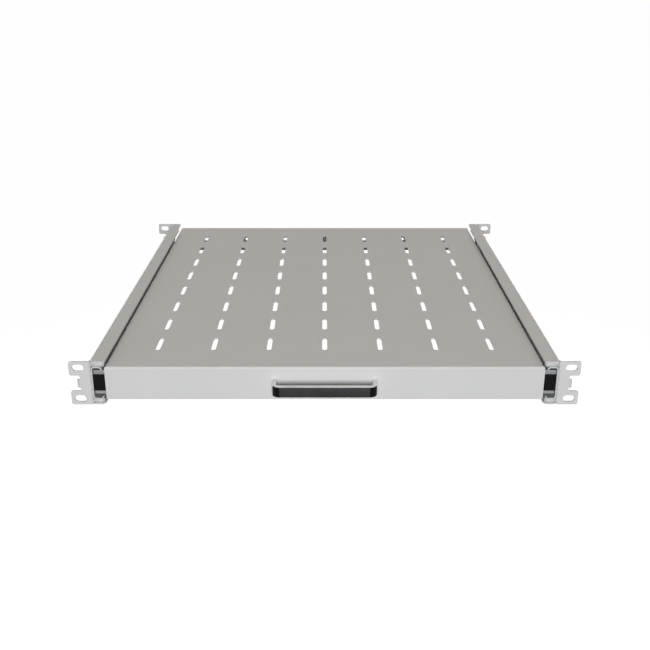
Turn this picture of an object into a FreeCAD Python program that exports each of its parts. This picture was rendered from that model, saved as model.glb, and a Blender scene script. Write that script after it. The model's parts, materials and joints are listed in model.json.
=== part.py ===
"""Sliding rack shelf: a vented steel tray on ball-bearing telescopic slides between two rack rails.

Millimetres. +X is to the right, +Y to the rear, +Z up. The origin is the centre of the front ears'
slot pattern, in the plane where the ears meet the rack posts. The right-hand side is modelled,
and the left-hand side is its mirror image.
"""
import FreeCAD
import Part

import cmath
import math
import os

Vector = FreeCAD.Vector

# Flats in a full turn of the small round features that repeat
HOLE_FLATS = 12
BALL_FLATS = 8

CUT_PAST = 1.0              # cutters run this far past a face

# Rack interface
RACK_OPENING = 450.0        # clear width between the rack posts
HOLE_INSET = 7.55           # from the edge of that opening to a column of rack holes
HOLE_SPREAD = 31.75         # between the two outer holes of one rack unit
POST_CLEARANCE = 2.8        # between a rail and the rack post beside it

# Rails and their ears
RAIL_DEPTH = 500.0          # front face of the front ears to rear face of the rear ears
RAIL_HEIGHT = 44.4
RAIL_SHEET = 1.5
RAIL_BEND = 1.0             # inside radius of every fold but the lugs'
FLANGE_OVERHANG = 1.1       # upper flange's edge past the tray's side
FLANGE_SHY = 1.2            # lower flange's edge short of the tray's side
FLANGE_CORNER = 4.5
FLANGE_STEP = 2.0           # flange narrows by this near the rear ears
FLANGE_STEP_LENGTH = 33.0
BEND_RELIEF = 0.8           # flange fold starts this far behind the ear's fold
EAR_EDGE = 8.75             # slot centre to the ear's outer edge
EAR_CORNER = 2.0
EAR_SLOT_LENGTH = 10.8
EAR_SLOT_WIDTH = 6.6
NOTCH_HEIGHT = 15.8
NOTCH_DEPTH = 10.0
LUG_HEIGHT = 8.8
LUG_DROP = 0.5              # lug's middle below the notch's
LUG_BEND = 2.2
LUG_REACH = 4.2             # lug's tip to the ear's outside face
LUG_BEVEL = 2.5             # cut off the lug's upper corner

# Tray
TRAY_HEIGHT = 33.3
TRAY_SHEET = 1.5
TRAY_BEND = 0.3
CORNER_SEAM = 0.5           # open seam between a folded side and the panel or the rear flange
TRAY_DROP = 0.4             # tray and slides below the middle of the rails
TRAY_SETBACK = 0.8          # panel face behind the ears' front face
SLOT_PITCH = 55.0
SLOT_LENGTH = 31.5
SLOT_WIDTH = 5.0
SLOT_EDGE = 40.0            # least distance from a slot's centre to the tray's edge
CABLE_HOLE_LENGTH = 12.0
CABLE_HOLE_HEIGHT = 4.5
END_HOLE_LENGTH = 24.0      # cable hole nearest to each side

# Telescopic slides
SLIDE_THICKNESS = 12.7
SLIDE_HEIGHT = 33.5
SLIDE_REAR_SPACE = 49.2     # slide's rear end to the rear ears' rear face
MEMBER_SHEET = 1.2
MEMBER_BEND = 1.5
OUTER_SHY = 2.2             # outer member's hook to the tray's side
MIDDLE_SHY = 1.9            # middle member's hook to the tray's side
MIDDLE_SETBACK = 5.0        # middle member's front end behind the outer member's
STAGE_TRAVEL = 200.0        # each of the two stages
BALL_DIAMETER = 3.5
RACE_GAP = 0.15             # ball to race
RACE_GROOVE = 0.3           # depth of the race rolled into a flat lip
SLIP = 0.3                  # running gap between nested webs
CAGE_SHEET = 0.6
CAGE_BEND = 0.8
CAGE_DROP = 0.6             # cage lip below the balls' centres
CAGE_MARGIN = 5.0           # cage end inside the member's end at full travel
CAGE_LIP_EDGE = 0.95        # cage metal outside a ball pocket
POCKET_GAP = 0.1
BALLS_PER_ROW = 5
BALL_END = 12.0             # end ball to the cage's end
WINDOW_HEIGHT = 10.0
WINDOW_BAR = 14.0           # cage web left between two windows

# Slide ends
CAP_HEIGHT = 15.9
CAP_THICKNESS = 3.1
CAP_PLUG = 12.0
CAP_EDGE = 0.6
CAP_SEAT = 0.2
TAB_HEIGHT = 24.6           # stop tab across the inner member's front, behind the cap
BUMPER_LENGTH = 8.0
BUMPER_FIT = 0.1

# Screws
SCREW_DIAMETER = 3.5
HEAD_DIAMETER = 6.8
HEAD_HEIGHT = 2.2
HEAD_CROWN = 0.9
CLEAR_HOLE_GAP = 0.2
TAPPED_HOLE_GAP = 0.05
INNER_SCREW_LENGTH = 5.0
SCREW_END = 45.0            # end screws to the ends of the slide
SCREWS_PER_MEMBER = 3

# Handle
HANDLE_WIDTH = 98.5
HANDLE_HEIGHT = 9.8
HANDLE_DROP = 0.3           # handle's middle below the tray's
HANDLE_REACH = 20.8         # front of the grip to the panel's face
HANDLE_BAR = 6.0
HANDLE_LEG = 3.5
HANDLE_CORNER = 7.2
HANDLE_EDGE = 0.6
FINGER_CORNER = 3.0
GRIP_THICKNESS = 1.2
GRIP_WRAP = 4.5             # grip's ends to its front
TONGUE_THICKNESS = 2.3
TONGUE_HEIGHT = 7.2
TONGUE_FIT = 0.15
HOOK_DEPTH = 1.2
HOOK_LENGTH = 3.2

# Places of the rails and the tray
web_outer = RACK_OPENING / 2 - POST_CLEARANCE
web_inner = web_outer - RAIL_SHEET
tray_half = web_inner - SLIDE_THICKNESS
flange_edge = tray_half - FLANGE_OVERHANG
lower_edge = tray_half + FLANGE_SHY
rail_half = RAIL_HEIGHT / 2
ear_front = -RAIL_SHEET
rail_rear = ear_front + RAIL_DEPTH
slot_x = RACK_OPENING / 2 + HOLE_INSET
ear_tip = slot_x + EAR_EDGE
notch_edge = ear_tip - NOTCH_DEPTH

panel_face = ear_front + TRAY_SETBACK
tray_rear = panel_face + RAIL_DEPTH
centre_z = -TRAY_DROP
tray_top = centre_z + TRAY_HEIGHT / 2
tray_bottom = centre_z - TRAY_HEIGHT / 2

# Places along the slides
slide_front = panel_face
slide_rear = rail_rear - SLIDE_REAR_SPACE
member_rear = slide_rear - BUMPER_LENGTH - SLIP
middle_front = slide_front + MIDDLE_SETBACK
inner_front = slide_front + CAP_THICKNESS + CAP_SEAT

# Slide section: depths from the rail's web towards the tray, heights from the middle of the slide
race = BALL_DIAMETER / 2 + RACE_GAP
outer_depth = SLIDE_THICKNESS - OUTER_SHY
outer_top = SLIDE_HEIGHT / 2
outer_ball = (outer_depth - MEMBER_SHEET - race, outer_top - MEMBER_SHEET - race)
middle_depth = SLIDE_THICKNESS - MIDDLE_SHY
middle_top = outer_ball[1] - race + RACE_GROOVE
inner_ball = (middle_depth - MEMBER_SHEET - race, middle_top - MEMBER_SHEET - race)
inner_top = inner_ball[1] - race + RACE_GROOVE
outer_cage_web = MEMBER_SHEET + SLIP
middle_web = outer_cage_web + CAGE_SHEET + SLIP
inner_cage_web = middle_web + MEMBER_SHEET + SLIP
inner_lip_tip = inner_cage_web + CAGE_SHEET + 2 * SLIP
plug_deep = SLIDE_THICKNESS - MEMBER_SHEET - CAP_SEAT
plug_half = inner_top - MEMBER_SHEET - CAP_SEAT


def in_slide(depth, height, y):
    """Point of the right-hand slide at a depth and height of its section."""
    return Vector(web_inner - depth, y, centre_z + height)


def box(low, high):
    """Box between two opposite corners."""
    return Part.makeBox(high[0] - low[0], high[1] - low[1], high[2] - low[2], Vector(*low))


def prism(corners, along):
    """Prism on a polygon of (x, y, z) corners, pulled along a vector."""
    points = [Vector(*corner) for corner in corners]
    return Part.Face(Part.makePolygon(points + points[:1])).extrude(along)


def mirrored(shape, axis, at=0.0):
    """Mirror image across the plane that stands across an axis (0, 1 or 2) at a place on it."""
    normal = Vector(*[float(axis == i) for i in range(3)])
    return shape.mirror(normal * at, normal)


def round_edges(solid, radius, axis, places):
    """Round the straight edges along an axis (0, 1 or 2) that stand at the given places across it."""
    near = 1e-4
    chosen = []
    for edge in solid.Edges:
        ends = [[v for i, v in enumerate(vertex.Point) if i != axis] for vertex in edge.Vertexes]
        along = len(ends) == 2 and math.dist(*ends) < near
        if along and any(math.dist(ends[0], place) < near for place in places):
            chosen.append(edge)
    return solid.makeFillet(radius, chosen)


def oblong(centre, along, through, length, width, depth, flats=0):
    """Slot cutter centred on a point, long one way and deep another.

    Its ends are arcs, or made of flats, so many to a full turn.
    """
    across = through.cross(along) * (width / 2)
    base = centre - through * (depth / 2)
    edges = []
    for way in (along, -along):
        middle = base + way * ((length - width) / 2)
        arc = Part.Arc(middle - across, base + way * (length / 2), middle + across).toShape()
        edges += Part.makePolygon(arc.discretize(flats // 2 + 1)).Edges if flats else [arc]
        edges.append(Part.LineSegment(middle + across, middle + across - way * (length - width)).toShape())
        across = -across
    return Part.Face(Part.Wire(edges)).extrude(through * depth)


def flat_circle(centre, axis, radius, flats):
    """Closed polygon of equal flats with its corners on a circle."""
    circle = Part.Circle(centre, axis, radius).toShape()
    return Part.makePolygon(circle.discretize(flats + 1))


def flat_rod(centre, along, radius, flats):
    """Rod of equal flats, with its corners at a radius, from a point along a vector."""
    return Part.Face(flat_circle(centre, along, radius, flats)).extrude(along)


def around(radius, flats):
    """Corner radius of a hole whose flats stay outside a circle."""
    return radius / math.cos(math.pi / flats)


def folded_sheet(points, sheet, bends, place, sweep):
    """Sheet folded along a middle line, with an inside radius at each corner, swept straight.

    The middle line is worked out in complex numbers, where 1j times a way is that way turned left.
    """
    line = [complex(*point) for point in points]
    ways = [(b - a) / abs(b - a) for a, b in zip(line, line[1:])]

    def side(offset):
        runs = []
        last = line[0] + 1j * ways[0] * offset
        for corner, inside, before, after in zip(line[1:-1], bends, ways, ways[1:]):
            turn = cmath.phase(after / before)
            left = math.copysign(1, turn)
            middle = inside + sheet / 2
            radius = middle - left * offset
            centre = corner - before * middle * math.tan(abs(turn) / 2) + 1j * left * before * middle
            start = centre - 1j * left * before * radius
            end = centre - 1j * left * after * radius
            crown = centre + (corner - centre) / abs(corner - centre) * radius
            runs += [(last, start), (start, crown, end)]
            last = end
        return runs + [(last, line[-1] + 1j * ways[-1] * offset)]

    near = side(sheet / 2)
    far = side(-sheet / 2)
    edges = []
    for run in near + far + [(near[0][0], far[0][0]), (near[-1][-1], far[-1][-1])]:
        spots = [place(point.real, point.imag) for point in run]
        if len(run) == 3:
            edges.append(Part.Arc(*spots).toShape())
        elif abs(run[1] - run[0]) > 1e-6:
            edges.append(Part.LineSegment(*spots).toShape())
    return Part.Face(Part.Wire(Part.__sortEdges__(edges))).extrude(sweep)


def evenly(start, end, count):
    """Places spread evenly from start to end."""
    return [start + (end - start) * i / (count - 1) for i in range(count)]


def screw_places():
    """Distances along the slide of the screws in one member."""
    return evenly(slide_front + SCREW_END, slide_rear - SCREW_END, SCREWS_PER_MEMBER)


def screw_holes(low_x, high_x, gap):
    """Cutters for the screw holes through a wall between two X places."""
    radius = around(SCREW_DIAMETER / 2 + gap, HOLE_FLATS)
    through = Vector(high_x - low_x, 0, 0)
    return [flat_rod(Vector(low_x, y, centre_z), through, radius, HOLE_FLATS) for y in screw_places()]


def screw_set(seat_x, outward, shank):
    """Pan-head screws: heads on a wall at seat_x, facing along outward (+1 or -1), shanks the other way."""
    axis = Vector(outward, 0, 0)
    screws = []
    for y in screw_places():
        seat = Vector(seat_x, y, centre_z)
        shoulder = axis * (HEAD_HEIGHT - HEAD_CROWN)
        stem = flat_rod(seat - axis * shank, axis * shank, SCREW_DIAMETER / 2, HOLE_FLATS)
        head = flat_rod(seat, shoulder, HEAD_DIAMETER / 2, HOLE_FLATS)
        rim = flat_circle(seat + shoulder, axis, HEAD_DIAMETER / 2, HOLE_FLATS)
        top = flat_circle(seat + axis * HEAD_HEIGHT, axis, HEAD_DIAMETER / 2 - HEAD_CROWN, HOLE_FLATS)
        crown = Part.makeLoft([rim, top], True, True)
        screws.append(stem.fuse([head, crown]).removeSplitter())
    return Part.makeCompound(screws)


def rail_end():
    """Front end of the right-hand rail: slotted ear, locating lug and the tips of the flanges."""
    web_line = web_outer - RAIL_SHEET / 2
    ear_line = ear_front + RAIL_SHEET / 2
    fold_end = RAIL_BEND + BEND_RELIEF
    ear = folded_sheet(
        [(ear_tip, ear_line), (web_line, ear_line), (web_line, fold_end)], RAIL_SHEET, [RAIL_BEND],
        lambda x, y: Vector(x, y, -rail_half), Vector(0, 0, RAIL_HEIGHT))
    notch = NOTCH_HEIGHT / 2
    ear = ear.cut(box((notch_edge, ear_front - CUT_PAST, -notch), (ear_tip + CUT_PAST, CUT_PAST, notch)))
    corners = [(ear_tip, rail_half), (ear_tip, notch), (notch_edge, notch)]
    ear = round_edges(ear, EAR_CORNER, 1, corners + [(x, -z) for x, z in corners])
    for z in (-HOLE_SPREAD / 2, HOLE_SPREAD / 2):
        middle = Vector(slot_x, ear_line, z)
        ear = ear.cut(oblong(middle, Vector(1, 0, 0), Vector(0, 1, 0),
                             EAR_SLOT_LENGTH, EAR_SLOT_WIDTH, 2 * RAIL_SHEET))
    lug_line = notch_edge + LUG_BEND + RAIL_SHEET / 2
    lug_foot = -LUG_DROP - LUG_HEIGHT / 2
    lug = folded_sheet(
        [(notch_edge - RAIL_BEND, ear_line), (lug_line, ear_line), (lug_line, ear_front + LUG_REACH)],
        RAIL_SHEET, [LUG_BEND], lambda x, y: Vector(x, y, lug_foot), Vector(0, 0, LUG_HEIGHT))
    past_tip = ear_front + LUG_REACH + CUT_PAST
    past_top = lug_foot + LUG_HEIGHT + CUT_PAST
    leg = LUG_BEVEL + 2 * CUT_PAST
    bevel = [(past_tip - leg, past_top), (past_tip, past_top), (past_tip, past_top - leg)]
    lug = lug.cut(prism([(notch_edge, y, z) for y, z in bevel], Vector(NOTCH_DEPTH, 0, 0)))
    fold_start = web_inner - RAIL_BEND
    upper = box((flange_edge, ear_front, rail_half - RAIL_SHEET), (fold_start, fold_end, rail_half))
    lower = box((lower_edge, ear_front, -rail_half), (fold_start, fold_end, RAIL_SHEET - rail_half))
    return ear.fuse([lug, upper, lower])


def rail():
    """Right-hand rail: a C-channel open towards the tray, with an ear folded out at each end."""
    web_line = web_outer - RAIL_SHEET / 2
    flange_line = rail_half - RAIL_SHEET / 2
    fold_end = RAIL_BEND + BEND_RELIEF
    middle_y = (ear_front + rail_rear) / 2
    top = [(flange_edge, flange_line), (web_line, flange_line)]
    bottom = [(web_line, -flange_line), (lower_edge, -flange_line)]
    channel = folded_sheet(
        top + bottom, RAIL_SHEET, [RAIL_BEND, RAIL_BEND],
        lambda x, z: Vector(x, fold_end, z), Vector(0, 2 * (middle_y - fold_end), 0))
    end = rail_end()
    solid = channel.fuse([end, mirrored(end, 1, middle_y)]).removeSplitter()
    narrow_edge = flange_edge + FLANGE_STEP
    solid = solid.cut(box((flange_edge - CUT_PAST, rail_rear - FLANGE_STEP_LENGTH, 0),
                          (narrow_edge, rail_rear + CUT_PAST, rail_half + CUT_PAST)))
    corners = [(flange_edge, ear_front), (narrow_edge, rail_rear)]
    corners += [(lower_edge, y) for y in (ear_front, rail_rear)]
    solid = round_edges(solid, FLANGE_CORNER, 2, corners)
    return solid.cut(screw_holes(web_inner - CUT_PAST, web_outer + CUT_PAST, CLEAR_HOLE_GAP))


def along_slide(points, sheet, bends, front, rear):
    """Slide member or cage: a folded section between two places along the slide."""
    return folded_sheet(points, sheet, bends, lambda depth, height: in_slide(depth, height, front),
                        Vector(0, rear - front, 0))


def hooked_member(web, hook, top, ball, front, rear):
    """C-shaped member whose lips end in a quarter-round hook over each row of balls."""
    web_line = web + MEMBER_SHEET / 2
    hook_line = hook - MEMBER_SHEET / 2
    lip_line = top - MEMBER_SHEET / 2
    upper = [(web_line, lip_line), (hook_line, lip_line), (hook_line, ball[1])]
    lower = [(depth, -height) for depth, height in reversed(upper)]
    return along_slide(lower + upper, MEMBER_SHEET, [race, MEMBER_BEND, MEMBER_BEND, race], front, rear)


def race_grooves(ball, front, rear):
    """Cutters for the races that a row of balls on each side rolls in."""
    places = [in_slide(ball[0], side * ball[1], front) for side in (-1, 1)]
    return [Part.makeCylinder(race, rear - front, place, Vector(0, 1, 0)) for place in places]


def outer_member():
    """Outer slide member, screwed to the rail's web."""
    member = hooked_member(0, outer_depth, outer_top, outer_ball, slide_front, slide_rear)
    holes = screw_holes(web_inner - MEMBER_SHEET - CUT_PAST, web_inner + CUT_PAST, TAPPED_HOLE_GAP)
    return member.cut(holes)


def middle_member():
    """Middle slide member: hooks over the inner balls, and races for the outer balls on its lips."""
    member = hooked_member(middle_web, middle_depth, middle_top, inner_ball, middle_front, member_rear)
    return member.cut(race_grooves(outer_ball, middle_front, member_rear))


def inner_member():
    """Inner slide member, screwed to the tray's side, with races for the inner balls on its lips."""
    web_line = SLIDE_THICKNESS - MEMBER_SHEET / 2
    lip_line = inner_top - MEMBER_SHEET / 2
    upper = [(web_line, lip_line), (inner_lip_tip, lip_line)]
    lower = [(depth, -height) for depth, height in reversed(upper)]
    member = along_slide(lower + upper, MEMBER_SHEET, [MEMBER_BEND, MEMBER_BEND], inner_front, member_rear)
    member = member.cut(race_grooves(inner_ball, inner_front, member_rear))
    holes = screw_holes(tray_half - CUT_PAST, tray_half + MEMBER_SHEET + CUT_PAST, TAPPED_HOLE_GAP)
    return member.fuse(stop_tab()).removeSplitter().cut(holes)


def stop_tab():
    """Tab folded across the inner member's front, with a window for the cap's plug."""
    half = TAB_HEIGHT / 2
    back = inner_front + MEMBER_SHEET
    tab = box(in_slide(SLIDE_THICKNESS, -half, inner_front), in_slide(outer_cage_web, half, back))
    half = plug_half + CAP_SEAT
    window = box(in_slide(plug_deep + CAP_SEAT, -half, inner_front - CUT_PAST),
                 in_slide(inner_lip_tip - CAP_SEAT, half, back + CUT_PAST))
    return tab.cut(window)


def cage_span(front, rear):
    """Ends of a ball cage that rolls half of a stage's travel and stays inside both members."""
    roll = STAGE_TRAVEL / 2 + CAGE_MARGIN
    return front + roll, rear - roll


def ball_places(front, rear):
    """Distances along the slide of the balls of one row."""
    return evenly(front + BALL_END, rear - BALL_END, BALLS_PER_ROW)


def ball_cage(web, ball, front, rear):
    """Ball cage: a thin C-section with a round pocket for each ball and windows in its web."""
    pocket = BALL_DIAMETER / 2 + POCKET_GAP
    lip = ball[1] - CAGE_DROP
    tip = ball[0] + pocket + CAGE_LIP_EDGE
    web_line = web + CAGE_SHEET / 2
    points = [(tip, -lip), (web_line, -lip), (web_line, lip), (tip, lip)]
    cage = along_slide(points, CAGE_SHEET, [CAGE_BEND, CAGE_BEND], front, rear)
    balls = ball_places(front, rear)
    cuts = []
    for y in balls:
        bottom = in_slide(ball[0], -outer_top, y)
        cuts.append(flat_rod(bottom, Vector(0, 0, SLIDE_HEIGHT), around(pocket, BALL_FLATS), BALL_FLATS))
    for y, after in zip(balls, balls[1:]):
        low = in_slide(web + CAGE_SHEET + SLIP, -WINDOW_HEIGHT / 2, y + WINDOW_BAR / 2)
        high = in_slide(web - SLIP, WINDOW_HEIGHT / 2, after - WINDOW_BAR / 2)
        cuts.append(box(low, high))
    return cage.cut(cuts)


def bearing_ball(centre):
    """Ball of flat facets, in rings between a pole above and a pole below."""
    step = 2 * math.pi / BALL_FLATS

    def corner(ring, place):
        rise, turn = ring * step, place * step
        way = Vector(math.sin(rise) * math.cos(turn), math.sin(rise) * math.sin(turn), math.cos(rise))
        return centre + way * (BALL_DIAMETER / 2)

    faces = []
    last = BALL_FLATS // 2 - 1
    for ring in range(last + 1):
        for place in range(BALL_FLATS):
            upper = [corner(ring, place + i) for i in ((0, 1) if ring else (0,))]
            lower = [corner(ring + 1, place + i) for i in ((1, 0) if ring < last else (0,))]
            faces.append(Part.Face(Part.makePolygon(upper + lower + upper[:1])))
    return Part.Solid(Part.Shell(faces))


def ball_rows(ball, front, rear):
    """Bearing balls of one cage, a row above and a row below."""
    spots = [in_slide(ball[0], side * ball[1], y) for side in (-1, 1) for y in ball_places(front, rear)]
    return Part.makeCompound([bearing_ball(spot) for spot in spots])


def end_cap():
    """Black cap over the slide's front, with a plug that fits inside the inner member."""
    half = CAP_HEIGHT / 2
    back = slide_front + CAP_THICKNESS
    low = in_slide(SLIDE_THICKNESS - CAP_SEAT, -half, slide_front)
    plate = box(low, in_slide(MEMBER_SHEET + CAP_SEAT, half, back))
    face_edges = [edge for edge in plate.Edges if edge.CenterOfMass.y < slide_front + CAP_SEAT / 2]
    plate = plate.makeFillet(CAP_EDGE, face_edges)
    plug = box(in_slide(plug_deep, -plug_half, back), in_slide(inner_lip_tip, plug_half, back + CAP_PLUG))
    corner_x = web_inner - plug_deep
    corners = [(corner_x, centre_z - plug_half), (corner_x, centre_z + plug_half)]
    return plate.fuse(round_edges(plug, MEMBER_BEND, 1, corners)).removeSplitter()


def rear_bumper():
    """Rubber stop in the back end of the outer member."""
    half = outer_top - MEMBER_SHEET - BUMPER_FIT
    deep = outer_depth - MEMBER_SHEET - BUMPER_FIT
    block = box(in_slide(deep, -half, slide_rear - BUMPER_LENGTH), in_slide(MEMBER_SHEET, half, slide_rear))
    depths = [web_inner - deep, web_inner - MEMBER_SHEET]
    return round_edges(block, race, 1, [(x, centre_z + side * half) for x in depths for side in (-1, 1)])


def pan(inset):
    """Block of the tray, taken in by an inset on the top and the four sides, with its top edges round."""
    low = (-tray_half + inset, panel_face + inset, tray_bottom - inset)
    high = (tray_half - inset, tray_rear - inset, tray_top - inset)
    block = box(low, high)
    rim = [edge for edge in block.Edges if edge.BoundBox.ZMin > high[2] - TRAY_BEND / 2]
    return block.makeFillet(TRAY_BEND + TRAY_SHEET - inset, rim)


def slot_columns():
    """X places of the columns of vent slots, with one in the middle."""
    reach = int((tray_half - SLOT_EDGE) / SLOT_PITCH)
    return [i * SLOT_PITCH for i in range(-reach, reach + 1)]


def slot_rows():
    """Y places of the rows of vent slots, centred on the tray."""
    count = int((tray_rear - panel_face - 2 * SLOT_EDGE) / SLOT_PITCH) + 1
    first = (panel_face + tray_rear - (count - 1) * SLOT_PITCH) / 2
    return [first + i * SLOT_PITCH for i in range(count)]


def tongue_x():
    """Middle of a handle leg."""
    return (HANDLE_WIDTH - HANDLE_LEG) / 2


def corner_seam(fold):
    """Cutter for the seam at the right front corner, from the bottom edge up to the folds."""
    low = (tray_half - fold, panel_face + TRAY_SHEET, tray_bottom - CUT_PAST)
    return box(low, (tray_half + CUT_PAST, panel_face + TRAY_SHEET + CORNER_SEAM, tray_top - fold))


def tray():
    """Folded tray: vented plate, front panel, rear flange and two sides."""
    along_x, along_y, along_z = Vector(1, 0, 0), Vector(0, 1, 0), Vector(0, 0, 1)
    through = 3 * TRAY_SHEET
    cuts = []
    columns = slot_columns()
    for x in columns:
        for y in slot_rows():
            middle = Vector(x, y, tray_top)
            cuts.append(oblong(middle, along_y, along_z, SLOT_LENGTH, SLOT_WIDTH, through, HOLE_FLATS))
        if x:
            middle = Vector(x, tray_rear, centre_z)
            length = END_HOLE_LENGTH if x in (columns[0], columns[-1]) else CABLE_HOLE_LENGTH
            cuts.append(oblong(middle, along_x, along_y, length, CABLE_HOLE_HEIGHT, through, HOLE_FLATS))
    half_x = TONGUE_THICKNESS / 2 + TONGUE_FIT
    half_z = TONGUE_HEIGHT / 2 + TONGUE_FIT
    for x in (-tongue_x(), tongue_x()):
        cuts.append(box((x - half_x, panel_face - CUT_PAST, centre_z - half_z),
                        (x + half_x, panel_face + TRAY_SHEET + CUT_PAST, centre_z + half_z)))
    seam = corner_seam(TRAY_BEND + TRAY_SHEET)
    right = screw_holes(tray_half - TRAY_SHEET - CUT_PAST, tray_half + CUT_PAST, CLEAR_HOLE_GAP)
    right += [seam, mirrored(seam, 1, (panel_face + tray_rear) / 2)]
    cuts += right + [mirrored(cut, 0) for cut in right]
    return pan(0).cut(pan(TRAY_SHEET)).cut(cuts)


def handle_block(inset):
    """Outer block of the bow handle, taken in at the front and the two sides, with round front corners."""
    half = HANDLE_WIDTH / 2 - inset
    front = panel_face - HANDLE_REACH + inset
    low_z = centre_z - HANDLE_DROP - HANDLE_HEIGHT / 2
    block = box((-half, front, low_z), (half, panel_face, low_z + HANDLE_HEIGHT))
    return round_edges(block, HANDLE_CORNER - inset, 2, [(-half, front), (half, front)])


def handle():
    """Bow handle in two pieces: a bow that snaps into the panel, and a grip cover over its front."""
    front = panel_face - HANDLE_REACH
    outer = handle_block(0)
    rims = [edge for edge in outer.Edges if edge.BoundBox.ZLength < HANDLE_EDGE
            and edge.BoundBox.YMin < panel_face - HANDLE_EDGE]
    outer = outer.makeChamfer(HANDLE_EDGE, rims)
    finger_half = HANDLE_WIDTH / 2 - HANDLE_LEG
    finger_front = front + HANDLE_BAR
    finger = box((-finger_half, finger_front, centre_z - HANDLE_HEIGHT),
                 (finger_half, panel_face + CUT_PAST, centre_z + HANDLE_HEIGHT))
    corners = [(-finger_half, finger_front), (finger_half, finger_front)]
    finger = round_edges(finger, FINGER_CORNER, 2, corners)
    wrap = box((-HANDLE_WIDTH, front - CUT_PAST, centre_z - HANDLE_HEIGHT),
               (HANDLE_WIDTH, front + GRIP_WRAP, centre_z + HANDLE_HEIGHT))
    grip = outer.cut(handle_block(GRIP_THICKNESS)).common(wrap)
    bow = outer.cut([finger, grip])
    catch = panel_face + TRAY_SHEET + TONGUE_FIT
    tongue_side = tongue_x() + TONGUE_THICKNESS / 2
    low_z = centre_z - TONGUE_HEIGHT / 2
    tongue = box((tongue_side - TONGUE_THICKNESS, panel_face, low_z),
                 (tongue_side, catch + HOOK_LENGTH, low_z + TONGUE_HEIGHT))
    hook = prism([(tongue_side, catch, low_z), (tongue_side + HOOK_DEPTH, catch, low_z),
                  (tongue_side, catch + HOOK_LENGTH, low_z)], Vector(0, 0, TONGUE_HEIGHT))
    snap = tongue.fuse(hook)
    return bow.fuse([snap, mirrored(snap, 0)]).removeSplitter(), grip


def main():
    """Write every piece: those of the right-hand side with their mirror images, then the shelf's own."""
    outer_cage = cage_span(slide_front, member_rear)
    inner_cage = cage_span(middle_front, member_rear)
    one_side = {
        "rail": rail(),
        "outer_member": outer_member(),
        "middle_member": middle_member(),
        "inner_member": inner_member(),
        "outer_cage": ball_cage(outer_cage_web, outer_ball, *outer_cage),
        "outer_balls": ball_rows(outer_ball, *outer_cage),
        "inner_cage": ball_cage(inner_cage_web, inner_ball, *inner_cage),
        "inner_balls": ball_rows(inner_ball, *inner_cage),
        "end_cap": end_cap(),
        "rear_bumper": rear_bumper(),
        "rail_screws": screw_set(web_outer, 1, RAIL_SHEET + MEMBER_SHEET),
        "inner_screws": screw_set(tray_half - TRAY_SHEET, -1, INNER_SCREW_LENGTH),
    }
    pieces = {"tray": tray()}
    pieces["handle_bow"], pieces["handle_grip"] = handle()
    for name, shape in one_side.items():
        pieces["right_" + name] = shape
        pieces["left_" + name] = mirrored(shape, 0)
    os.makedirs("parts", exist_ok=True)
    for name, shape in pieces.items():
        shape.exportStep("parts/" + name + ".step")


main()
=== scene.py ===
"""Sliding rack shelf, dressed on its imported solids: powder coat, plated slides and moulded plastics,
lips in the rails' mouths, finer screws, bearing balls and handle, a plain studio and the camera."""

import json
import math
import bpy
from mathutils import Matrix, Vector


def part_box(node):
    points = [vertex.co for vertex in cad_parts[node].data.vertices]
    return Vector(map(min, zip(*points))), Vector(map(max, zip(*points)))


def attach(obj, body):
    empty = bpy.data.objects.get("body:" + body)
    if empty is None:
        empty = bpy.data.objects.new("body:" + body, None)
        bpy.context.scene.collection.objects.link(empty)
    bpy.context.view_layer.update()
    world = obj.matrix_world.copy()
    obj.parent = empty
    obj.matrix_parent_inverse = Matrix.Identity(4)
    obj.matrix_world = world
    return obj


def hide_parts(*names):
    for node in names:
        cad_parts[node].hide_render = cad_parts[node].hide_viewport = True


bl_info = {
    "name": "Sliding rack shelf",
    "version": (1, 0, 0),
    "blender": (4, 5, 0),
    "location": "3D View > Sidebar > Rack shelf",
    "description": "Finishes, small hardware and studio for a sliding rack shelf",
    "category": "Object",
}

import bmesh
import bpy
from bpy.props import FloatProperty, FloatVectorProperty, IntProperty, PointerProperty
from mathutils import Matrix, Vector

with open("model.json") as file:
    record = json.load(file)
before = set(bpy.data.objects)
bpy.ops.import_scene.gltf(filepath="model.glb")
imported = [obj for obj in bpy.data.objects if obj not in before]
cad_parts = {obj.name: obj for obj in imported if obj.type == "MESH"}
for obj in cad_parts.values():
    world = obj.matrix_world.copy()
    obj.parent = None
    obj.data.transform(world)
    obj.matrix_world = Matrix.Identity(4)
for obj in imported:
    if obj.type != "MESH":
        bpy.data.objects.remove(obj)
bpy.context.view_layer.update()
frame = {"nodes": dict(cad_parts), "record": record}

MM = 0.001
SIDES = ("left", "right")


def linear(hex_colour):
    """Linear RGB of an sRGB hex colour."""
    shares = [int(hex_colour[i:i + 2], 16) / 255 for i in (1, 3, 5)]
    return [c / 12.92 if c <= 0.04045 else ((c + 0.055) / 1.055) ** 2.4 for c in shares]


def length(name, description, default):
    """Length property, in metres."""
    return FloatProperty(name=name, description=description, default=default, min=0, precision=5,
                         unit="LENGTH")


def colour(name, description, hex_colour):
    """Colour property with a default given as sRGB hex."""
    return FloatVectorProperty(name=name, description=description, default=linear(hex_colour), size=3,
                               min=0, max=1, subtype="COLOR")


def lamp_power(name, description, default):
    """Property for the power of a lamp, in watts."""
    return FloatProperty(name=name, description=description, default=default, min=0, unit="POWER")


def row_count(name, description, default):
    """Property for how many like things stand in a row."""
    return IntProperty(name=name, description=description, default=default, min=2)


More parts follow.
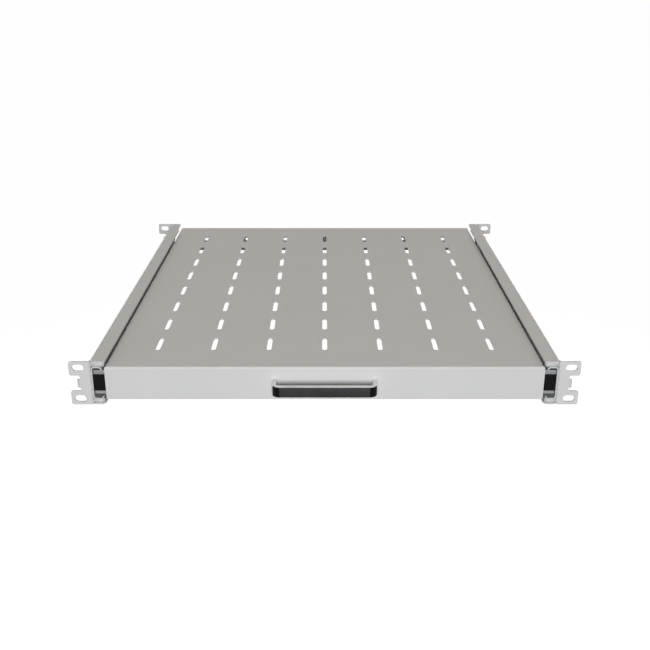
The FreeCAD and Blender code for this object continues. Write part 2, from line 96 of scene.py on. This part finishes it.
class ShelfSizes(bpy.types.PropertyGroup):
    """Sizes of the rails' lips, and of the small pieces that are drawn finer than their solids."""

    rail_sheet: length("Rail sheet", "Sheet thickness of the rails", 1.5 * MM)
    flange_corner: length("Flange corner", "Radius of the rail flanges' front corners", 4.5 * MM)
    lower_setback: length("Lower setback", "Lower flange's edge short of the upper one's", 2.3 * MM)
    lip_recess: length("Lip recess", "Turned-in lip behind a flange's front edge", 1.0 * MM)
    lip_gap: length("Lip gap", "Turned-in lip to the slide", 0.1 * MM)
    handle_width: length("Handle width", "Handle from side to side", 98.5 * MM)
    handle_corner: length("Handle corner", "Radius of the handle's two front corners", 7.2 * MM)
    grip_wrap: length("Grip wrap", "Grip's ends behind its front", 4.5 * MM)
    handle_edge: length("Handle edge", "Rounding along the rims of the handle", 0.6 * MM)
    handle_bar: length("Handle bar", "Depth of the handle's bar, grip included", 6.0 * MM)
    handle_leg: length("Handle leg", "Thickness of a handle leg", 3.5 * MM)
    finger_corner: length("Finger corner", "Radius inside the handle, between bar and leg", 3.0 * MM)
    tongue_thickness: length("Tongue thickness", "Snap tongue behind each leg", 2.3 * MM)
    tongue_height: length("Tongue height", "Snap tongue, from bottom to top", 7.2 * MM)
    hook_depth: length("Hook depth", "Catch on a snap tongue, sideways", 1.2 * MM)
    hook_length: length("Hook length", "Catch on a snap tongue, along it", 3.2 * MM)
    screw_shank: length("Screw shank", "Shank radius of the slide screws", 1.75 * MM)
    screw_head: length("Screw head", "Head height of the slide screws", 2.2 * MM)
    screw_crown: length("Screw crown", "Rounding of a screw head", 0.9 * MM)
    screw_chamfer: length("Screw chamfer", "Chamfer at the tip of a screw", 0.2 * MM)
    recess_reach: length("Recess reach", "Cross recess, from its middle to an arm's end", 1.75 * MM)
    recess_width: length("Recess width", "Arm of the cross recess, half its width", 0.45 * MM)
    recess_depth: length("Recess depth", "Depth of the cross recess", 1.2 * MM)
    thread_pitch: length("Thread pitch", "Distance between thread crests", 0.8 * MM)
    screws_per_row: row_count("Screws per row", "Screws along one slide member", 3)
    balls_per_row: row_count("Balls per row", "Bearing balls in one row", 5)


class ShelfColours(bpy.types.PropertyGroup):
    """Colours of the finishes."""

    powder: colour("Powder coat", "Light grey coat of the tray and the rails", "#CFCFCE")
    zinc: colour("Zinc plate", "Plated outer members and screws", "#BCBDBF")
    # A darker copy of the zinc plate: painted shade for the inner and middle members
    shaded_zinc: colour("Dull zinc plate", "Plated inner and middle members, under grease", "#8E8F91")
    cage: colour("Cage steel", "Bare strip of the ball cages", "#A09E9A")
    balls: colour("Ball steel", "Polished bearing balls", "#C9C9C8")
    caps: colour("Cap plastic", "Caps on the slides", "#0E0E0F")
    # The grip's face and bends are one black ABS: the face is painted lighter as if lit, and the bends
    # darker as painted shade
    grip: colour("Grip face", "Textured face of the grip", "#262627")
    shaded_grip_ends: colour("Grip corners", "Smooth corners of the grip", "#060607")
    bow: colour("Bow paint", "Silver bow behind the grip", "#DCDCDB")
    rubber: colour("Rubber", "Stops at the back of the slides", "#1A1A1A")


class ShelfStudio(bpy.types.PropertyGroup):
    """Floor, light levels and camera."""

    floor_drop: length("Floor drop", "Floor below the shelf, which hangs in a rack", 0.95)
    floor_white: FloatProperty(name="Floor white", description="White of the floor where it is seen",
                               default=0.97, min=0, max=1, subtype="FACTOR")
    key_power: lamp_power("Key", "Lamp in front of the shelf", 37.5)
    top_power: lamp_power("Top", "Lamp above the shelf", 7.7)
    back_power: lamp_power("Back", "Lamp low behind the shelf", 12)
    side_power: lamp_power("Sides", "Each of the two lamps low behind the shelf's corners", 20)
    ambient: FloatProperty(name="Ambient", description="Light from all round", default=0.24, min=0)
    lens: FloatProperty(name="Lens", description="Focal length", default=49.92, min=1, unit="CAMERA")
    tilt: FloatProperty(name="Tilt", description="Camera's turn about X, from straight down",
                        default=math.radians(68.721), subtype="ANGLE")
    camera_back: length("Camera back", "Camera in front of the ears", 0.77705)
    camera_up: length("Camera up", "Camera above the middle of the ears", 0.36123)
    camera_shift: FloatProperty(name="Camera shift", description="Sideways shift, in picture widths",
                                default=0.0005, precision=4)


def add_node(tree, kind, sockets=None, **settings):
    """Add a node with its settings. Each socket gets a value, or a link from (node, output)."""
    made = tree.nodes.new(kind)
    for name, value in settings.items():
        setattr(made, name, value)
    for name, value in (sockets or {}).items():
        if isinstance(value, tuple):
            tree.links.new(value[0].outputs[value[1]], made.inputs[name])
        else:
            made.inputs[name].default_value = value
    return made


def new_material(name):
    """Material with an empty node tree, and that tree."""
    material = bpy.data.materials.new(name)
    material.use_nodes = True
    material.node_tree.nodes.clear()
    return material, material.node_tree


def grain(size_mm):
    """Texture scale, in features to a metre, of a pattern with features of a size in millimetres."""
    return 1 / (size_mm * MM)


def rgba(rgb, share=1.0):
    """Colour with alpha, made darker or lighter by a share."""
    return [min(1, c * share) for c in rgb] + [1]


def powder_coat(rgb):
    """Polyester powder sprayed on steel and baked: a satin coat with the low waves called orange peel.

    The eye gets an even, soft-edged sheen, faint drifts of tone and a skin that is never quite flat.
    """
    material, tree = new_material("grey_polyester_powder_coat")
    place = (add_node(tree, "ShaderNodeTexCoord"), "Object")
    drift = add_node(tree, "ShaderNodeTexNoise", {"Vector": place, "Scale": grain(70), "Detail": 3.0})
    tone = add_node(tree, "ShaderNodeMix", {
        "Factor": (drift, "Fac"), "A": rgba(rgb, 0.965), "B": rgba(rgb, 1.03)}, data_type="RGBA")
    # Real orange peel is about 1 mm across; it is drawn at 2.2 mm, so that it shows at all
    peel = add_node(tree, "ShaderNodeTexNoise", {"Vector": place, "Scale": grain(2.2), "Detail": 2.0})
    sheen = add_node(tree, "ShaderNodeMapRange", {
        "Value": (peel, "Fac"), "From Min": 0.3, "From Max": 0.7, "To Min": 0.46, "To Max": 0.58})
    # The coat flows off sharp edges, so that each one is a small round that catches light
    edges = add_node(tree, "ShaderNodeBevel", {"Radius": 0.35 * MM}, samples=4)
    skin = add_node(tree, "ShaderNodeBump", {
        "Height": (peel, "Fac"), "Strength": 0.12, "Distance": 0.25 * MM, "Normal": (edges, "Normal")})
    shader = add_node(tree, "ShaderNodeBsdfPrincipled", {
        "Base Color": (tone, "Result"), "Roughness": (sheen, "Result"), "Normal": (skin, "Normal"),
        "IOR": 1.5, "Specular IOR Level": 0.3})
    add_node(tree, "ShaderNodeOutputMaterial", {"Surface": (shader, "BSDF")})
    return material


def rolled_metal(name, rgb, rough, streak_mm, metallic=1.0):
    """Cold-rolled steel with the fine lines that its making left along it, plated or bare.

    The eye gets stretched, softly banded reflections that run along the slide.
    """
    material, tree = new_material(name)
    place = (add_node(tree, "ShaderNodeTexCoord"), "Object")
    # Each line is 50 times as long as it is wide. Real lines are a few hundredths of a millimetre wide;
    # they are drawn about ten times as coarse, so that they show
    long_lines = add_node(tree, "ShaderNodeMapping", {"Vector": place, "Scale": [1.0, 0.02, 1.0]})
    lines = add_node(tree, "ShaderNodeTexNoise", {
        "Vector": (long_lines, "Vector"), "Scale": grain(streak_mm), "Detail": 4.0})
    clouds = add_node(tree, "ShaderNodeTexNoise", {"Vector": place, "Scale": grain(18), "Detail": 2.0})
    tone = add_node(tree, "ShaderNodeMix", {
        "Factor": (clouds, "Fac"), "A": rgba(rgb, 0.9), "B": rgba(rgb, 1.06)}, data_type="RGBA")
    gloss = add_node(tree, "ShaderNodeMapRange", {
        "Value": (lines, "Fac"), "From Min": 0.25, "From Max": 0.75,
        "To Min": rough - 0.07, "To Max": rough + 0.1})
    ridges = add_node(tree, "ShaderNodeBump", {
        "Height": (lines, "Fac"), "Strength": 0.15, "Distance": 0.05 * MM})
    shader = add_node(tree, "ShaderNodeBsdfPrincipled", {
        "Base Color": (tone, "Result"), "Roughness": (gloss, "Result"), "Normal": (ridges, "Normal"),
        "Metallic": metallic})
    add_node(tree, "ShaderNodeOutputMaterial", {"Surface": (shader, "BSDF")})
    return material


def moulded_plastic(name, rgb, rough, pit_mm, pit_depth_mm, specular, metallic=0.0, mottle_and_sheen=0.15):
    """Injection-moulded plastic or rubber that took its fine pits from a spark-eroded mould.

    The eye gets a dull, finely mottled sheen, and a soft edge to every highlight.
    """
    material, tree = new_material(name)
    place = (add_node(tree, "ShaderNodeTexCoord"), "Object")
    # Real pits are about a tenth of a millimetre across; they are drawn coarser, so that they show
    pits = add_node(tree, "ShaderNodeTexNoise", {"Vector": place, "Scale": grain(pit_mm), "Detail": 3.0})
    flow_mm = 9 * pit_mm
    flow = add_node(tree, "ShaderNodeTexNoise", {"Vector": place, "Scale": grain(flow_mm), "Detail": 1.0})
    # Random tone across the moulding; where the share is strong, as on the grip's face, the patches are
    # painted reflection
    dark, light = rgba(rgb, 1 - mottle_and_sheen), rgba(rgb, 1 + mottle_and_sheen)
    tone = add_node(tree, "ShaderNodeMix", {
        "Factor": (flow, "Fac"), "A": dark, "B": light}, data_type="RGBA")
    dull = add_node(tree, "ShaderNodeMapRange", {
        "Value": (pits, "Fac"), "From Min": 0.3, "From Max": 0.7,
        "To Min": rough - 0.06, "To Max": rough + 0.06})
    skin = add_node(tree, "ShaderNodeBump", {
        "Height": (pits, "Fac"), "Strength": 0.4, "Distance": pit_depth_mm * MM})
    shader = add_node(tree, "ShaderNodeBsdfPrincipled", {
        "Base Color": (tone, "Result"), "Roughness": (dull, "Result"), "Normal": (skin, "Normal"),
        "IOR": 1.53, "Specular IOR Level": specular, "Metallic": metallic})
    add_node(tree, "ShaderNodeOutputMaterial", {"Surface": (shader, "BSDF")})
    return material


def both(name):
    """A node's names on the left and the right."""
    return ["%s_%s" % (side, name) for side in SIDES]


def finish_nodes(names, material):
    """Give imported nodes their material."""
    for name in names:
        if name not in frame["nodes"]:
            raise RuntimeError("the frame has no node " + name)
        for slot in frame["nodes"][name].material_slots:
            slot.material = material


def add_piece(name, mesh, materials, node, replaces=True):
    """New piece from a bmesh: it rides with a node, and stands in for it unless it only adds to it."""
    data = bpy.data.meshes.new(name)
    bmesh.ops.recalc_face_normals(mesh, faces=mesh.faces)
    mesh.to_mesh(data)
    mesh.free()
    for material in materials:
        data.materials.append(material)
    piece = bpy.data.objects.new(name, data)
    bpy.context.scene.collection.objects.link(piece)
    bodies = frame["record"]["behaviour"]["bodies"]
    holders = [body for body, nodes in bodies.items() if node in nodes]
    if not holders:
        raise RuntimeError("no body holds " + node)
    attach(piece, holders[0])
    if replaces:
        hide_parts(node)


def smooth(mesh, sharp_degrees):
    """Shade a bmesh smooth, but for edges that turn by more than an angle."""
    for face in mesh.faces:
        face.smooth = True
    for edge in mesh.edges:
        edge.smooth = edge.calc_face_angle(0) < math.radians(sharp_degrees)


def spread(low, high, count):
    """Places spread evenly from low to high."""
    return [low + (high - low) * i / (count - 1) for i in range(count)]


def arc(centre, radius, start, end, steps):
    """Points of an arc between two angles in degrees."""
    turns = [math.radians(start + (end - start) * i / steps) for i in range(steps + 1)]
    return [(centre[0] + radius * math.cos(t), centre[1] + radius * math.sin(t)) for t in turns]


def mirrored(outline):
    """The points of a plan outline on the other side of the middle, in reverse order."""
    return [(-x, y) for x, y in reversed(outline)]


def prism(mesh, outline, low_z, high_z):
    """Upright prism on a plan outline; returns its bottom and its top face."""
    bottom = [mesh.verts.new((x, y, low_z)) for x, y in outline]
    top = [mesh.verts.new((x, y, high_z)) for x, y in outline]
    caps = mesh.faces.new(reversed(bottom)), mesh.faces.new(top)
    for i in range(len(outline)):
        j = (i + 1) % len(outline)
        mesh.faces.new((bottom[i], bottom[j], top[j], top[i]))
    return caps


class RACKSHELF_OT_painted_sheet(bpy.types.Operator):
    """Coat the tray and the two rails, and turn in the lips of the rails' mouths"""

    bl_idname = "rack_shelf.painted_sheet"
    bl_label = "Tray and rails"

    def execute(self, context):
        coat = powder_coat(context.scene.shelf_colours.powder)
        finish_nodes(["tray"] + both("rail"), coat)
        for side in SIDES:
            self.add_lips(context.scene.shelf_sizes, side, coat)
        return {"FINISHED"}

    def add_lips(self, sizes, side, coat):
        """Lips turned in from the flanges' front ends, which close the rail's mouth beside the slide."""
        low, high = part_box(side + "_rail")
        slide_low, slide_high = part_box(side + "_outer_member")
        outward = 1 if low.x > 0 else -1
        # From the middle of the shelf to the rail's web, and to the edge of its upper flange
        web, edge = (slide_high.x, low.x) if outward > 0 else (-slide_low.x, -high.x)
        radius, sheet = sizes.flange_corner, sizes.rail_sheet
        face = low.y + sizes.lip_recess
        mesh = bmesh.new()
        for start, bottom, top in (
                (edge, slide_high.z + sizes.lip_gap, high.z - sheet),
                (edge + sizes.lower_setback, low.z + sheet, slide_low.z - sizes.lip_gap)):
            centre = start + radius, low.y + radius
            outer = radius - sizes.lip_recess
            outline = [(web, face)] + arc(centre, outer, 270, 180, steps=8)
            outline += arc(centre, outer - sheet, 180, 270, steps=8) + [(web, face + sheet)]
            prism(mesh, [(outward * x, y) for x, y in outline], bottom, top)
        smooth(mesh, sharp_degrees=40)
        add_piece(side + "_rail_lips", mesh, [coat], side + "_rail", replaces=False)


class RACKSHELF_OT_slides(bpy.types.Operator):
    """Plate the slide members, and leave the ball cages bare"""

    bl_idname = "rack_shelf.slides"
    bl_label = "Slide members and cages"

    def execute(self, context):
        colours = context.scene.shelf_colours
        # Passivated zinc plate: a soft grey sheen, more like pewter than like a mirror
        zinc = rolled_metal("zinc_plated_steel_strip", colours.zinc, rough=0.5, streak_mm=0.8, metallic=0.35)
        # The same plate, painted darker: painted shade for the members that sit deep in the rails' mouths
        shaded_zinc = rolled_metal("zinc_plated_strip_painted_shade", colours.shaded_zinc,
                                 rough=0.5, streak_mm=0.8, metallic=0.35)
        # Bare, oiled strip: a full metal reflection, blurred by the rolling, in a slightly brown grey
        bare = rolled_metal("bare_cold_rolled_strip", colours.cage, rough=0.42, streak_mm=0.6)
        finish_nodes(both("outer_member"), zinc)
        finish_nodes(both("middle_member") + both("inner_member"), shaded_zinc)
        for cage in ("outer_cage", "inner_cage"):
            finish_nodes(both(cage), bare)
        return {"FINISHED"}


class RACKSHELF_OT_slide_ends(bpy.types.Operator):
    """Mould the caps at the front of the slides and the stops at their back"""

    bl_idname = "rack_shelf.slide_ends"
    bl_label = "Caps and stops"

    def execute(self, context):
        colours = context.scene.shelf_colours
        # Moulded acetal: a deep, waxy black with hardly any gloss
        acetal = moulded_plastic("black_acetal", colours.caps, rough=0.42,
                                 pit_mm=1.2, pit_depth_mm=0.04, specular=0.06)
        # Moulded rubber: a soft black that goes grey where light grazes it
        rubber = moulded_plastic("black_rubber", colours.rubber, rough=0.75,
                                 pit_mm=1.0, pit_depth_mm=0.08, specular=0.25)
        finish_nodes(both("end_cap"), acetal)
        finish_nodes(both("rear_bumper"), rubber)
        return {"FINISHED"}


class RACKSHELF_OT_bearing_balls(bpy.types.Operator):
    """Put round, polished balls in the cages"""

    bl_idname = "rack_shelf.bearing_balls"
    bl_label = "Bearing balls"

    def execute(self, context):
        # Ground and polished steel: small, bright mirrors with the faintest of lines
        steel = rolled_metal("polished_bearing_steel", context.scene.shelf_colours.balls,
                             rough=0.14, streak_mm=0.5)
        count = context.scene.shelf_sizes.balls_per_row
        for node in both("outer_balls") + both("inner_balls"):
            low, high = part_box(node)
            radius = (high.x - low.x) / 2
            mesh = bmesh.new()
            for y in spread(low.y + radius, high.y - radius, count):
                for z in (low.z + radius, high.z - radius):
                    spot = Matrix.Translation(((low.x + high.x) / 2, y, z))
                    bmesh.ops.create_uvsphere(mesh, u_segments=20, v_segments=12, radius=radius,
                                              matrix=spot)
            smooth(mesh, sharp_degrees=60)
            add_piece(node + "_polished", mesh, [steel], node)
        return {"FINISHED"}


def screw_profile(sizes, head_radius, shank):
    """Radius and height pairs of a pan-head screw, from the tip up to the head's flat."""
    pitch = sizes.thread_pitch
    thread_depth, flank, runout = 0.3 * pitch, 0.3 * pitch, 0.1 * pitch
    root = sizes.screw_shank - thread_depth
    profile = [(root - sizes.screw_chamfer, -shank)]
    for i in range(int(shank / pitch)):
        crest = -shank + (i + 0.5) * pitch
        profile += [(root, crest - flank), (sizes.screw_shank, crest)]
    profile += [(root, -runout), (root, 0), (head_radius, 0)]
    shoulder = sizes.screw_head - sizes.screw_crown
    profile += arc((head_radius - sizes.screw_crown, shoulder), sizes.screw_crown, 0, 90, steps=6)
    return profile


def cross_outline(sizes):
    """Corners of the cross recess, anticlockwise."""
    far, near = sizes.recess_reach, sizes.recess_width
    quarter = [(far, -near), (far, near), (near, near)]
    corners = []
    for turn in range(4):
        spin = Matrix.Rotation(turn * math.pi / 2, 2)
        corners += [spin @ Vector(corner) for corner in quarter]
    return corners


def add_screw(mesh, sizes, head_radius, shank, place):
    """Pan-head screw with a cross recess, its axis along Z, set in a place."""
    around = 32
    turns = [2 * math.pi * i / around for i in range(around)]
    rings = []
    for radius, height in screw_profile(sizes, head_radius, shank):
        rings.append([mesh.verts.new((radius * math.cos(t), radius * math.sin(t), height)) for t in turns])
    mesh.faces.new(reversed(rings[0]))
    for lower, upper in zip(rings, rings[1:]):
        for i in range(around):
            j = (i + 1) % around
            mesh.faces.new((lower[i], lower[j], upper[j], upper[i]))
    mouth = [mesh.verts.new((x, y, sizes.screw_head)) for x, y in cross_outline(sizes)]
    # The recess narrows to this share of its mouth at the bottom
    taper = 0.55
    floor = [mesh.verts.new((v.co.x * taper, v.co.y * taper, sizes.screw_head - sizes.recess_depth))
             for v in mouth]
    corners = len(mouth)
    for i in range(corners):
        j = (i + 1) % corners
        mesh.faces.new((mouth[i], mouth[j], floor[j], floor[i]))
    mesh.faces.new(floor)
    edges = [mesh.edges.get((mouth[i], mouth[(i + 1) % corners])) for i in range(corners)]
    edges += [mesh.edges.get((rings[-1][i], rings[-1][(i + 1) % around])) for i in range(around)]
    bmesh.ops.bridge_loops(mesh, edges=edges)
    made = [v for ring in rings for v in ring] + mouth + floor
    bmesh.ops.transform(mesh, matrix=place, verts=made)


class RACKSHELF_OT_screws(bpy.types.Operator):
    """Make the screws of the slides, each with a thread and a cross recess"""

    bl_idname = "rack_shelf.screws"
    bl_label = "Screws"

    def execute(self, context):
        sizes = context.scene.shelf_sizes
        # Cold-formed steel with bright zinc plate: clear, slightly cold highlights on the heads
        zinc = rolled_metal("zinc_plated_screw_steel", context.scene.shelf_colours.zinc,
                            rough=0.3, streak_mm=0.4)
        # Radians for each metre along the slide, so that no two recesses stand alike
        spin_rate = 37
        for node in both("rail_screws") + both("inner_screws"):
            low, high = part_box(node)
            head_radius = (high.z - low.z) / 2
            middle_z = (low.z + high.z) / 2
            to_right = (low.x > 0) == node.endswith("rail_screws")
            outward = 1 if to_right else -1
            seat = high.x - sizes.screw_head if to_right else low.x + sizes.screw_head
            shank = high.x - low.x - sizes.screw_head
            turn = Matrix.Rotation(outward * math.pi / 2, 4, "Y")
            mesh = bmesh.new()
            for y in spread(low.y + head_radius, high.y - head_radius, sizes.screws_per_row):
                spin = Matrix.Rotation(y * spin_rate, 4, "Z")
                place = Matrix.Translation((seat, y, middle_z)) @ turn @ spin
                add_screw(mesh, sizes, head_radius, shank, place)
            smooth(mesh, sharp_degrees=35)
            add_piece(node + "_recessed", mesh, [zinc], node)
        return {"FINISHED"}


class RACKSHELF_OT_handle(bpy.types.Operator):
    """Mould the light bow of the handle and its black grip"""

    bl_idname = "rack_shelf.handle"
    bl_label = "Handle"

    def execute(self, context):
        sizes = context.scene.shelf_sizes
        colours = context.scene.shelf_colours
        low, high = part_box("handle_grip")
        radius = sizes.handle_corner
        corner = Vector((sizes.handle_width / 2 - radius, low.y + radius))
        end_turn = math.asin(1 - sizes.grip_wrap / radius)
        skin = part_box("handle_bow")[0].y - low.y
        self.make_grip(sizes, colours, low, high, corner, end_turn, skin)
        self.make_bow(sizes, colours, low, high, corner, end_turn, skin)
        return {"FINISHED"}

    def make_grip(self, sizes, colours, low, high, corner, end_turn, skin):
        """Grip: a thin cover bent round the bow's front, its outer rims rounded."""
        bend_steps = 10
        edge, radius = sizes.handle_edge, sizes.handle_corner
        section = [(skin, low.z)]
        for z, start in ((low.z + edge, 270), (high.z - edge, 180)):
            section += arc((edge, z), edge, start, start - 90, steps=4)
        section.append((skin, high.z))
        path = []
        turns = spread(end_turn, math.pi / 2, bend_steps + 1)
        for side, order in ((1, turns), (-1, reversed(turns))):
            centre = Vector((side * corner.x, corner.y))
            for turn in order:
                way = Vector((side * math.cos(turn), -math.sin(turn)))
                path.append((centre + way * radius, way))
        mesh = bmesh.new()
        rings = []
        for spot, way in path:
            rings.append([mesh.verts.new((*(spot - way * depth), z)) for depth, z in section])
        count = len(section)
        textured, plain = 0, 1
        for step, (here, after) in enumerate(zip(rings, rings[1:])):
            for i in range(count):
                j = (i + 1) % count
                wall = mesh.faces.new((here[i], here[j], after[j], after[i]))
                # The long, straight step between the two bends is the textured face; it is painted lighter
                # as if lit, and the bends darker as painted shade
                wall.material_index = textured if step == bend_steps else plain
        for end in (rings[0], rings[-1]):
            mesh.faces.new(end).material_index = plain
        smooth(mesh, sharp_degrees=50)
        # ABS from a coarse spark-eroded mould: a charcoal face, painted lighter as if lit, with a strong
        # mottle that is painted reflection
        face = moulded_plastic("black_abs_textured_painted_light", colours.grip, rough=0.5,
                               pit_mm=1.5, pit_depth_mm=0.1, specular=0.2, mottle_and_sheen=0.7)
        # ABS with finer pits on the bends, painted near black: painted shade where the bends turn away from
        # the light
        ends = moulded_plastic("black_abs_painted_shade", colours.shaded_grip_ends, rough=0.4,
                               pit_mm=1.5, pit_depth_mm=0.02, specular=0.06)
        add_piece("handle_grip_cover", mesh, [face, ends], "handle_grip")

    def make_bow(self, sizes, colours, low, high, corner, end_turn, skin):
        """Bow: bar and two legs in one moulding, with a snap tongue behind each leg."""
        edge, radius = sizes.handle_edge, sizes.handle_corner
        half, finger = sizes.handle_width / 2, sizes.finger_corner
        inside = half - sizes.handle_leg
        bar_back = low.y + sizes.handle_bar
        tray_low, tray_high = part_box("tray")
        panel, hook_end = tray_low.y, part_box("handle_bow")[1].y
        grip_end = -math.degrees(end_turn)
        front = [(half, panel)] + arc(corner, radius, 0, grip_end, steps=4)
        front += arc(corner, radius - skin, grip_end, -90, steps=8)
        back = arc((inside - finger, bar_back + finger), finger, 270, 360, steps=6)
        back.append((inside, panel))
        mesh = bmesh.new()
        bottom, top = prism(mesh, front + mirrored(front) + mirrored(back) + back, low.z, high.z)
        rims = []
        for rim in [*bottom.edges, *top.edges]:
            spot = (rim.verts[0].co + rim.verts[1].co) / 2
            from_corner = Vector((abs(spot.x), min(spot.y, corner.y))) - corner
            outer_side = from_corner.length > radius - edge / 2
            inner_side = abs(spot.x) < inside + edge / 2 and spot.y > bar_back - edge / 2
            if (outer_side or inner_side) and spot.y < panel - edge / 2:
                rims.append(rim)
        bmesh.ops.bevel(mesh, geom=rims, offset=edge, offset_type="OFFSET", segments=4, profile=0.5,
                        affect="EDGES", clamp_overlap=True)
        middle = half - sizes.handle_leg / 2
        near, far = middle - sizes.tongue_thickness / 2, middle + sizes.tongue_thickness / 2
        root = panel - edge
        catch = hook_end - sizes.hook_length
        tongue = [(near, root), (far, root), (far, catch), (far + sizes.hook_depth, catch),
                  (far, hook_end), (near, hook_end)]
        middle_z = (tray_low.z + tray_high.z) / 2
        tall = sizes.tongue_height / 2
        for outline in (tongue, mirrored(tongue)):
            prism(mesh, outline, middle_z - tall, middle_z + tall)
        smooth(mesh, sharp_degrees=40)
        # ABS under silver paint, whose flakes lie flat: a light sheen that shifts softly with the view
        paint = moulded_plastic("silver_painted_abs", colours.bow, rough=0.42,
                                pit_mm=1.2, pit_depth_mm=0.04, specular=0.4, metallic=0.5)
        add_piece("handle_bow_moulding", mesh, [paint], "handle_bow")


class RACKSHELF_OT_stage(bpy.types.Operator):
    """Set up the white floor and surroundings, the lamps and the camera"""

    bl_idname = "rack_shelf.stage"
    bl_label = "Studio and camera"

    def execute(self, context):
        scene = context.scene
        studio = scene.shelf_studio
        scene.view_settings.view_transform = "Standard"
        self.add_surroundings(scene, studio)
        self.add_floor(scene, studio)
        self.add_lamp(scene, "key", studio.key_power, "#FBFDFF",
                      size=(0.6, 0.7), place=(0, -2.05, 0.44), target=(0, 0, 0))
        self.add_lamp(scene, "top", studio.top_power, "#FFF1E5",
                      size=(0.8, 1.6), place=(0, 0.25, 2.0), target=(0, 0.25, 0))
        self.add_lamp(scene, "back", studio.back_power, "#FFFFFF",
                      size=(1.8, 0.6), place=(0, 2.6, -0.4), target=(0, 0.5, 0))
        for side, x in zip(SIDES, (-1.9, 1.9)):
            self.add_lamp(scene, side, studio.side_power, "#FFFFFF",
                          size=(1.2, 0.6), place=(x, 1.7, -0.35), target=(0, 0.3, 0))
        self.add_camera(scene, studio)
        return {"FINISHED"}

    def seen_rays(self, tree):
        """Output that is 1 for the rays in which white surroundings are seen.

        These are the camera's own rays, and those of glossy reflection and of transmission.
        """
        path = add_node(tree, "ShaderNodeLightPath")
        either = add_node(tree, "ShaderNodeMath", {
            0: (path, "Is Camera Ray"), 1: (path, "Is Glossy Ray")}, operation="MAXIMUM")
        seen = add_node(tree, "ShaderNodeMath", {
            0: (either, 0), 1: (path, "Is Transmission Ray")}, operation="MAXIMUM")
        return seen, 0

    def add_surroundings(self, scene, studio):
        """Plain surroundings: white where they are seen, dimmer and a little warm as light."""
        scene.world = bpy.data.worlds.new("surroundings")
        scene.world.use_nodes = True
        tree = scene.world.node_tree
        tree.nodes.clear()
        light = add_node(tree, "ShaderNodeBackground", {
            "Color": rgba(linear("#FFFAF6")), "Strength": studio.ambient})
        white = add_node(tree, "ShaderNodeBackground", {
            "Color": rgba(linear("#FFFFFF")), "Strength": 1.0})
        mix = add_node(tree, "ShaderNodeMixShader", {
            0: self.seen_rays(tree), 1: (light, 0), 2: (white, 0)})
        add_node(tree, "ShaderNodeOutputWorld", {"Surface": (mix, 0)})

    def add_floor(self, scene, studio):
        """Wide floor: white where it is seen but for a little of the shadow, and dark as a light."""
        reach = 100.0
        mesh = bmesh.new()
        bmesh.ops.create_grid(mesh, x_segments=1, y_segments=1, size=reach,
                              matrix=Matrix.Translation((0, 0, -studio.floor_drop)))
        data = bpy.data.meshes.new("floor")
        mesh.to_mesh(data)
        mesh.free()
        # Matt paper: an even white with no sheen, on which the shadow is just to be seen
        material, tree = new_material("matt_white_paper")
        paper = add_node(tree, "ShaderNodeBsdfDiffuse", {"Color": rgba(linear("#525252"))})
        share = add_node(tree, "ShaderNodeMath", {
            0: self.seen_rays(tree), 1: studio.floor_white}, operation="MULTIPLY")
        white = add_node(tree, "ShaderNodeEmission", {"Strength": (share, 0)})
        both_parts = add_node(tree, "ShaderNodeAddShader", {0: (paper, 0), 1: (white, 0)})
        add_node(tree, "ShaderNodeOutputMaterial", {"Surface": (both_parts, 0)})
        data.materials.append(material)
        floor = bpy.data.objects.new("floor", data)
        scene.collection.objects.link(floor)

    def add_lamp(self, scene, name, watts, hex_colour, size, place, target):
        """Soft rectangular lamp, turned to a target."""
        data = bpy.data.lights.new(name, "AREA")
        data.shape = "RECTANGLE"
        data.size, data.size_y = size
        data.energy = watts
        data.color = linear(hex_colour)
        lamp = bpy.data.objects.new(name, data)
        lamp.location = place
        lamp.rotation_euler = (Vector(target) - Vector(place)).to_track_quat("-Z", "Y").to_euler()
        lamp.visible_camera = False
        scene.collection.objects.link(lamp)

    def add_camera(self, scene, studio):
        """Camera in front of the shelf, a little above it and tilted down."""
        data = bpy.data.cameras.new("camera")
        data.sensor_width = 36
        data.lens = studio.lens
        data.shift_x = studio.camera_shift
        camera = bpy.data.objects.new("camera", data)
        camera.location = (0, -studio.camera_back, studio.camera_up)
        camera.rotation_euler = (studio.tilt, 0, 0)
        scene.collection.objects.link(camera)
        scene.camera = camera


STEPS = (
    RACKSHELF_OT_painted_sheet,
    RACKSHELF_OT_slides,
    RACKSHELF_OT_slide_ends,
    RACKSHELF_OT_bearing_balls,
    RACKSHELF_OT_screws,
    RACKSHELF_OT_handle,
    RACKSHELF_OT_stage,
)


class RACKSHELF_PT_pieces(bpy.types.Panel):
    """Pieces of the shelf, with their sizes and colours, and the studio"""

    bl_idname = "RACKSHELF_PT_pieces"
    bl_label = "Rack shelf"
    bl_space_type = "VIEW_3D"
    bl_region_type = "UI"
    bl_category = "Rack shelf"

    def draw(self, context):
        for step in STEPS:
            self.layout.operator(step.bl_idname)
        for group in (context.scene.shelf_sizes, context.scene.shelf_colours, context.scene.shelf_studio):
            column = self.layout.column()
            for name in group.__annotations__:
                column.prop(group, name)


GROUPS = {"shelf_sizes": ShelfSizes, "shelf_colours": ShelfColours, "shelf_studio": ShelfStudio}
CLASSES = (*GROUPS.values(), *STEPS, RACKSHELF_PT_pieces)


def register():
    """Register the classes, and hang the settings on the scene."""
    for kind in CLASSES:
        bpy.utils.register_class(kind)
    for name, kind in GROUPS.items():
        setattr(bpy.types.Scene, name, PointerProperty(type=kind))


def unregister():
    """Undo what register did."""
    for name in GROUPS:
        delattr(bpy.types.Scene, name)
    for kind in reversed(CLASSES):
        bpy.utils.unregister_class(kind)


def main():
    """Build every piece and the studio."""
    register()
    for step in STEPS:
        getattr(bpy.ops.rack_shelf, step.bl_idname.split(".")[1])()


if __name__ == "__main__":
    main()
